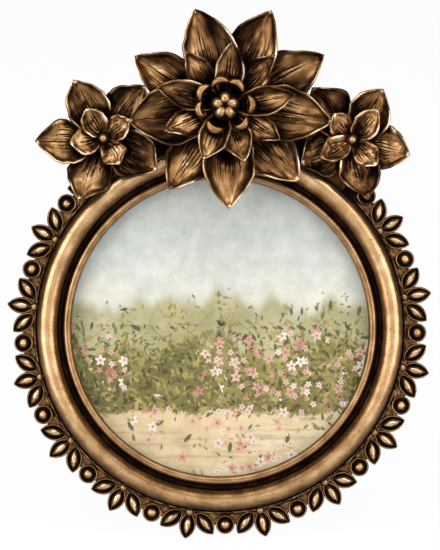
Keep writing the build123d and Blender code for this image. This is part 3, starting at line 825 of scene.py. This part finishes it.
for name in ("left_flower", "right_flower"):
    bead_section = arc((0, heart_bead_middle), heart_bead_radius, heart_bead_radius, 0, 111.6, 10)
    bead_section += [(heart_bead_radius, heart_bead_foot), (0, heart_bead_foot)]
    bead = draw_section(f"{name}_seed_bead", bead_section)
    spin_section(32)
    # Painted highlight: the bead is lighter towards its top
    paint(bead, lambda p: (0.1 + 0.55 * ease(heart_bead_foot, 14.6, p.z), p.x, p.y))
    settle(bead, at(*flower_points[name]))
    fit(bead, bronze, f"{name}_bead", angle=60)


# Glass pane: a disc of 2 mm float glass with clean faces and a ground edge. It lies in the rebate,
# and the board behind the print presses it against the lip.
pane_radius, pane_thickness, pane_middle, ground_edge = 50, 1.9, 4.45, 0.25

# Float glass: the eye sees the print through it, with a faint sheen that wiping has left uneven
clear_glass, tree = start_material("float_glass")
where = add_node(tree, "TexCoord").outputs["Object"]
wipe_marks = add_node(tree, "TexNoise", {"Vector": where, "Scale": 1 / (14 * MM), "Detail": 3})
wipe_rough = add_node(tree, "MapRange", {0: wipe_marks, 1: 0.3, 2: 0.75, 3: 0.02, 4: 0.09})
pane = add_node(
    tree, "BsdfPrincipled",
    {"Base Color": colour("#2A302D"), "Roughness": wipe_rough, "IOR": 1.5, "Alpha": 0.05},
)
add_node(tree, "OutputMaterial", {"Surface": pane})
glass = add_cylinder(pane_radius, pane_thickness, pane_middle, vertices=160)
glass.name = "glass"
soften(glass, ground_edge)
fit(glass, clear_glass, "glass_pane")


# Print: a round of matt art paper behind the glass, printed with a generic watercolour of a
# flowering meadow under a pale sky. Its node keeps its shape and gets this paper, on which the eye
# sees soft washes with sharper leaves and blossoms over them.
print_paper, tree = start_material("matt_art_paper")
where = add_node(tree, "TexCoord").outputs["Object"]
sheet = add_node(
    tree, "Mapping",
    {
        "Vector": where, "Location": ring_place.to_translation(),
        "Rotation": ring_place.to_euler(), "Scale": (MM, MM, MM),
    },
    vector_type="TEXTURE",
)
upwards = add_node(tree, "SeparateXYZ", {0: sheet}).outputs[1]
wash = add_node(
    tree, "TexNoise", {"Vector": sheet, "Scale": 1 / 14, "Detail": 5, "Roughness": 0.6}
)
sky_height = add_node(tree, "Math", {0: wash, 1: 46, 2: upwards}, operation="MULTIPLY_ADD")
sky = add_node(tree, "MapRange", {0: sky_height, 1: 0, 2: 70, 3: 0, 4: 1})
picture = add_node(
    tree, "ValToRGB", {0: sky},
    stops=(
        (0.0, "#DDD2BA"), (0.3, "#D8D3C2"), (0.55, "#CBCCC4"), (0.75, "#C0C4C1"), (1.0, "#C8CAC7"),
    ),
).outputs[0]

# Far trees, a near hedge and the ground: each wash ends at its own uneven edge
edges = {}
for name, waviness, detail, swing, level, soft, stops in (
    ("trees", 15, 2, 30, -4, 6.0, ((0.3, "#8C8450"), (0.55, "#A39A6C"), (0.75, "#B9B08C"))),
    ("hedge", 9, 5, 44, -26, 4.0, ((0.3, "#4E471C"), (0.5, "#746734"), (0.7, "#978A50"))),
    ("ground", 16, 3, 9, -31, 1.5, ((0.3, "#D6BA90"), (0.5, "#DFC8A2"), (0.7, "#E6D5B6"))),
):
    stretch = add_node(tree, "Mapping", {"Vector": sheet, "Scale": (1 / waviness, 0, 1)})
    hills = add_node(tree, "TexNoise", {"Vector": stretch, "Scale": 1, "Detail": detail})
    edge_line = add_node(tree, "Math", {0: hills, 1: swing, 2: level}, operation="MULTIPLY_ADD")
    edges[name] = add_node(tree, "Math", {0: edge_line, 1: upwards}, operation="SUBTRACT")
    cover = add_node(
        tree, "MapRange", {0: edges[name], 1: 0, 2: soft, 3: 0, 4: 0.85},
        interpolation_type="SMOOTHSTEP",
    )
    tint = add_node(tree, "ValToRGB", {0: wash}, stops=stops)
    picture = add_node(tree, "Mix", {0: cover, 6: picture, 7: tint}, data_type="RGBA").outputs[2]
furrow_run = add_node(tree, "Mapping", {"Vector": sheet, "Scale": (1 / 24, 1 / 1.3, 1)})
furrows = add_node(tree, "TexNoise", {"Vector": furrow_run, "Scale": 1, "Detail": 3})
furrow_lines = add_node(tree, "MapRange", {0: furrows, 1: 0.54, 2: 0.66, 3: 0, 4: 0.5})
on_ground = add_node(tree, "MapRange", {0: edges["ground"], 1: 0, 2: 4, 3: 0, 4: 1})
furrow_share = add_node(tree, "Math", {0: furrow_lines, 1: on_ground}, operation="MULTIPLY")
picture = add_node(
    tree, "Mix", {0: furrow_share, 6: picture, 7: colour("#AE9670")}, data_type="RGBA"
).outputs[2]

# Twigs, leaves and blossoms, thick in the hedge and thin above it
off_ground = add_node(tree, "MapRange", {0: edges["ground"], 1: -1, 2: 3, 3: 1, 4: 0.1})
growth = add_node(tree, "MapRange", {0: edges["hedge"], 1: -13, 2: 3, 3: 0, 4: 1.0})
leafage = add_node(tree, "Math", {0: growth, 1: off_ground}, operation="MULTIPLY")
twigs = add_node(
    tree, "TexNoise", {"Vector": sheet, "Scale": 1 / 9, "Detail": 3, "Distortion": 0.8}
)
twig_away = add_node(tree, "Math", {0: twigs, 1: 0.5}, operation="SUBTRACT")
twig_near = add_node(tree, "Math", {0: twig_away}, operation="ABSOLUTE")
twig_line = add_node(tree, "MapRange", {0: twig_near, 1: 0.006, 2: 0.014, 3: 1, 4: 0})
twig_share = add_node(tree, "Math", {0: twig_line, 1: leafage}, operation="MULTIPLY")
picture = add_node(
    tree, "Mix", {0: twig_share, 6: picture, 7: colour("#6E6142")}, data_type="RGBA"
).outputs[2]
clusters = add_node(tree, "TexNoise", {"Vector": sheet, "Scale": 1 / 17, "Detail": 1})
cluster_share = add_node(tree, "MapRange", {0: clusters, 1: 0.44, 2: 0.62, 3: 0.05, 4: 0.95})
bloom_growth = add_node(tree, "MapRange", {0: edges["hedge"], 1: -4, 2: 3, 3: 0, 4: 1})
blossom = add_node(tree, "Math", {0: cluster_share, 1: bloom_growth}, operation="MULTIPLY")
leaf_stops = (
    (0.0, "#34351A"), (0.25, "#595526"), (0.5, "#877E3E"), (0.75, "#B2A65E"), (1.0, "#59683F"),
)
bloom_stops = (
    (0.0, "#C98A80"), (0.3, "#DDB0A5"), (0.6, "#E9CFC4"), (0.85, "#EFE6DA"), (1.0, "#B9665F"),
)
for cell, long, wide, share, stops in (
    (4.6, 2.0, 0.75, leafage, leaf_stops), (2.6, 1.2, 0.45, leafage, leaf_stops),
    (3.4, 1.5, 0.55, leafage, leaf_stops), (2.0, 0.95, 0.36, leafage, leaf_stops),
    (5.4, 1.9, 0.0, blossom, bloom_stops), (3.9, 1.2, 0.0, blossom, bloom_stops),
):
    shifted = add_node(
        tree, "VectorMath", {0: sheet, 1: (7.3 * cell, 3.1 * cell, 0)}, operation="ADD"
    )
    cells = add_node(
        tree, "TexVoronoi", {"Vector": shifted, "Scale": 1 / cell, "Randomness": 0.85},
        voronoi_dimensions="2D",
    )
    chances = add_node(tree, "SeparateColor", {0: cells.outputs["Color"]}).outputs
    grows = add_node(tree, "Math", {0: chances[0], 1: share}, operation="LESS_THAN")
    from_middle = add_node(
        tree, "VectorMath", {0: shifted, 1: cells.outputs["Position"]}, operation="SUBTRACT"
    )
    turn = add_node(tree, "Math", {0: chances[1], 1: 2 * math.pi}, operation="MULTIPLY")
    around = add_node(
        tree, "VectorRotate", {"Vector": from_middle, "Angle": turn}, rotation_type="Z_AXIS"
    )
    local = add_node(tree, "SeparateXYZ", {0: around}).outputs
    if wide:
        along = add_node(tree, "Math", {0: local[0], 1: long}, operation="DIVIDE")
        square = add_node(tree, "Math", {0: along, 1: along}, operation="MULTIPLY")
        reach = add_node(tree, "Math", {0: square, 1: -wide, 2: wide}, operation="MULTIPLY_ADD")
        aside = add_node(tree, "Math", {0: local[1]}, operation="ABSOLUTE")
        within = add_node(tree, "Math", {0: reach, 1: aside}, operation="SUBTRACT")
    else:
        bearing = add_node(tree, "Math", {0: local[1], 1: local[0]}, operation="ARCTAN2")
        five = add_node(tree, "Math", {0: bearing, 1: 5}, operation="MULTIPLY")
        lobes = add_node(tree, "Math", {0: five}, operation="COSINE")
        reach = add_node(
            tree, "Math", {0: lobes, 1: 0.24 * long, 2: 0.76 * long}, operation="MULTIPLY_ADD"
        )
        flat = add_node(tree, "VectorMath", {0: around, 1: (1, 1, 0)}, operation="MULTIPLY")
        away = add_node(tree, "VectorMath", {0: flat}, operation="LENGTH").outputs["Value"]
        within = add_node(tree, "Math", {0: reach, 1: away}, operation="SUBTRACT")
    shape = add_node(tree, "MapRange", {0: within, 1: 0.0, 2: 0.12, 3: 0, 4: 0.85})
    stamp = add_node(tree, "Math", {0: shape, 1: grows}, operation="MULTIPLY")
    tint = add_node(tree, "ValToRGB", {0: chances[2]}, stops=stops)
    picture = add_node(tree, "Mix", {0: stamp, 6: picture, 7: tint}, data_type="RGBA").outputs[2]
    if not wide:
        eye = add_node(tree, "MapRange", {0: away, 1: 0.2 * long, 2: 0.3 * long, 3: 0.8, 4: 0})
        eye_share = add_node(tree, "Math", {0: eye, 1: grows}, operation="MULTIPLY")
        picture = add_node(
            tree, "Mix", {0: eye_share, 6: picture, 7: colour("#A2674F")}, data_type="RGBA"
        ).outputs[2]

# Pools in the wash, and the tooth of the paper
pools = add_node(
    tree, "TexNoise", {"Vector": sheet, "Scale": 1 / 5, "Detail": 5, "Roughness": 0.65}
)
pool_tone = add_node(tree, "ValToRGB", {0: pools}, stops=((0.3, "#E4E4E0"), (0.7, "#FFFFFF")))
pooled = add_node(
    tree, "Mix", {0: 1.0, 6: picture, 7: pool_tone}, data_type="RGBA", blend_type="MULTIPLY"
).outputs[2]
tooth = add_node(tree, "TexNoise", {"Vector": sheet, "Scale": 1 / 0.4, "Detail": 2})
tooth_bump = add_node(tree, "Bump", {"Height": tooth, "Strength": 0.15, "Distance": 0.05 * MM})
paper = add_node(
    tree, "BsdfPrincipled",
    {"Base Color": pooled, "Roughness": 0.7, "Specular IOR Level": 0.25, "Normal": tooth_bump},
)
add_node(tree, "OutputMaterial", {"Surface": paper})


def coat(material, names):
    """Gives the solids of these names their material."""
    for name in names:
        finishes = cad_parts[name].data.materials
        finishes.clear()
        finishes.append(material)


coat(print_paper, ["photo_print"])


# Back board and strut: black-coated hardboard, sawn to shape. The board closes the rebate, and the
# strut hangs from its hinge. The eye sees a dull black face with fine fibres and faint blotches.
black_board, tree = start_material("black_hardboard")
where = add_node(tree, "TexCoord").outputs["Object"]
fibres = add_node(tree, "TexNoise", {"Vector": where, "Scale": 1 / (0.6 * MM), "Detail": 5})
blotches = add_node(tree, "TexNoise", {"Vector": where, "Scale": 1 / (18 * MM), "Detail": 3})
board_mix = add_node(tree, "Math", {0: fibres, 1: 0.6, 2: blotches}, operation="MULTIPLY_ADD")
board_colour = add_node(
    tree, "ValToRGB", {0: board_mix},
    stops=((0.45, "#141312"), (0.85, "#26241F"), (1.0, "#3A3630")),
)
board_bump = add_node(tree, "Bump", {"Height": fibres, "Strength": 0.4, "Distance": 0.12 * MM})
board = add_node(
    tree, "BsdfPrincipled", {"Base Color": board_colour, "Roughness": 0.82, "Normal": board_bump}
)
add_node(tree, "OutputMaterial", {"Surface": board})
coat(black_board, ["back_board", "easel_strut"])


# Turn buttons, hinge and rivets: nickel-plated pressed steel with a fine rolled grain, which looks
# pale grey and half bright. The four screws are turned from the same steel, with a domed head and a
# cross recess, and go through the turn buttons into the ring.
screw_ring, recess_length, recess_width, recess_depth = 54.85, 2.6, 0.62, 1.6
head_top, head_foot, shank_radius, shank_end = -2.1, -1.0, 1.45, 6.0

plated_steel, tree = start_material("nickel_plated_steel")
where = add_node(tree, "TexCoord").outputs["Object"]
rolled = add_node(
    tree, "Mapping",
    {"Vector": where, "Scale": (1 / (0.25 * MM), 1 / (4 * MM), 1 / (4 * MM))},
)
rolling = add_node(tree, "TexNoise", {"Vector": rolled, "Scale": 1, "Detail": 3})
steel_colour = add_node(tree, "ValToRGB", {0: rolling}, stops=((0.3, "#A5A29B"), (0.7, "#C3C1BB")))
steel_rough = add_node(tree, "MapRange", {0: rolling, 1: 0.2, 2: 0.8, 3: 0.28, 4: 0.42})
steel = add_node(
    tree, "BsdfPrincipled",
    {"Base Color": steel_colour, "Roughness": steel_rough, "Metallic": 1.0},
)
add_node(tree, "OutputMaterial", {"Surface": steel})
button_places = ("upper_right", "upper_left", "lower_left", "lower_right")
coat(plated_steel, [f"turn_button_{place}" for place in button_places])
coat(
    plated_steel, ["hinge_plate", "hinge_pin", "hinge_rivets", "strut_hinge_leaf", "strut_rivets"]
)
screw_section = [
    (0, head_top), (0.6, -2.09), (1.2, -2.0), (1.7, -1.86), (2.1, -1.66), (2.4, -1.4),
    (2.55, -1.2), (2.6, head_foot), (shank_radius, head_foot), (shank_radius, shank_end),
    (0, shank_end),
]
screw = draw_section("screw", screw_section)
spin_section(48)
for turn in (0, math.pi / 2):
    bpy.ops.object.select_all(action="DESELECT")
    bpy.ops.mesh.primitive_cube_add(
        size=MM, location=(0, 0, head_top * MM), rotation=(0, 0, turn),
        scale=(recess_length, recess_width, recess_depth),
    )
    slit = bpy.context.object
    cut_away(screw, slit)
    bpy.data.objects.remove(slit)
screws = []
for i in range(4):
    place = turned(45 + 90 * i) @ at(screw_ring) @ turned(25 + 31 * i)
    screws.append(put_copy(screw, place))
bpy.data.objects.remove(screw)
screws = join("cross_screws", screws)
fit(screws, plated_steel, "turn_button_screws")


# Studio: a plain pale floor, two upright softboxes, a large one overhead and a weak fill in front,
# and the camera square to the picture. The floor is white to the eye and keeps the frame's shadow.
floor_lift = 0.965
camera_distance, view_height, sensor_height, view_shift = 0.9, 0.1779, 36, 0.0045
middle_point = ring_place @ Vector((0, 16.2 * MM, 5 * MM))

bpy.ops.object.select_all(action="DESELECT")
bpy.ops.mesh.primitive_plane_add(size=24)
floor = bpy.context.object
floor.name = "floor"
floor_paint, tree = start_material("white_floor_paint")
rays = add_node(tree, "LightPath").outputs
seen_through = add_node(
    tree, "Math", {0: rays["Is Camera Ray"], 1: rays["Is Transmission Ray"]}, operation="MAXIMUM"
)
seen = add_node(
    tree, "Math", {0: seen_through, 1: rays["Is Glossy Ray"]}, operation="MAXIMUM"
)
lift_share = add_node(tree, "Math", {0: seen, 1: floor_lift}, operation="MULTIPLY")
matt = add_node(tree, "BsdfDiffuse", {"Color": colour("#F4F4F2")})
white = add_node(tree, "Emission", {"Color": (1, 1, 1, 1), "Strength": 1.0})
floor_mix = add_node(tree, "MixShader", {0: lift_share, 1: matt, 2: white})
add_node(tree, "OutputMaterial", {"Surface": floor_mix})
floor.data.materials.append(floor_paint)

world = bpy.data.worlds.new("studio")
bpy.context.scene.world = world
world.use_nodes = True
world.node_tree.nodes.clear()
air = add_node(world.node_tree, "Background", {"Color": colour("#FFFFFF"), "Strength": 0.1})
add_node(world.node_tree, "OutputWorld", {"Surface": air})

for name, place, width, height, power in (
    ("left_softbox", (-0.72, -0.65, 0.28), 0.7, 0.9, 7.6),
    ("right_softbox", (0.72, -0.65, 0.28), 0.7, 0.9, 6.4),
    ("top_softbox", (0, -0.55, 1.2), 2.0, 0.6, 16.0),
    ("front_fill", (0, -1.6, 0.5), 1.6, 1.2, 8.0),
):
    lamp = bpy.data.lights.new(name, "AREA")
    lamp.shape, lamp.size, lamp.size_y, lamp.energy = "RECTANGLE", width, height, power
    softbox = bpy.data.objects.new(name, lamp)
    bpy.context.collection.objects.link(softbox)
    softbox.location = place
    softbox.rotation_euler = (middle_point - Vector(place)).to_track_quat("-Z", "Y").to_euler()
    softbox.visible_camera = False

camera = bpy.data.objects.new("camera", bpy.data.cameras.new("camera"))
bpy.context.collection.objects.link(camera)
camera.location = middle_point + ring_place.to_3x3() @ Vector((0, 0, camera_distance))
camera.rotation_euler = ring_place.to_euler()
camera.data.sensor_fit = "VERTICAL"
camera.data.sensor_height = sensor_height
camera.data.lens = sensor_height * camera_distance / view_height
camera.data.shift_y = view_shift
bpy.context.scene.camera = camera
bpy.context.scene.view_settings.view_transform = "Standard"
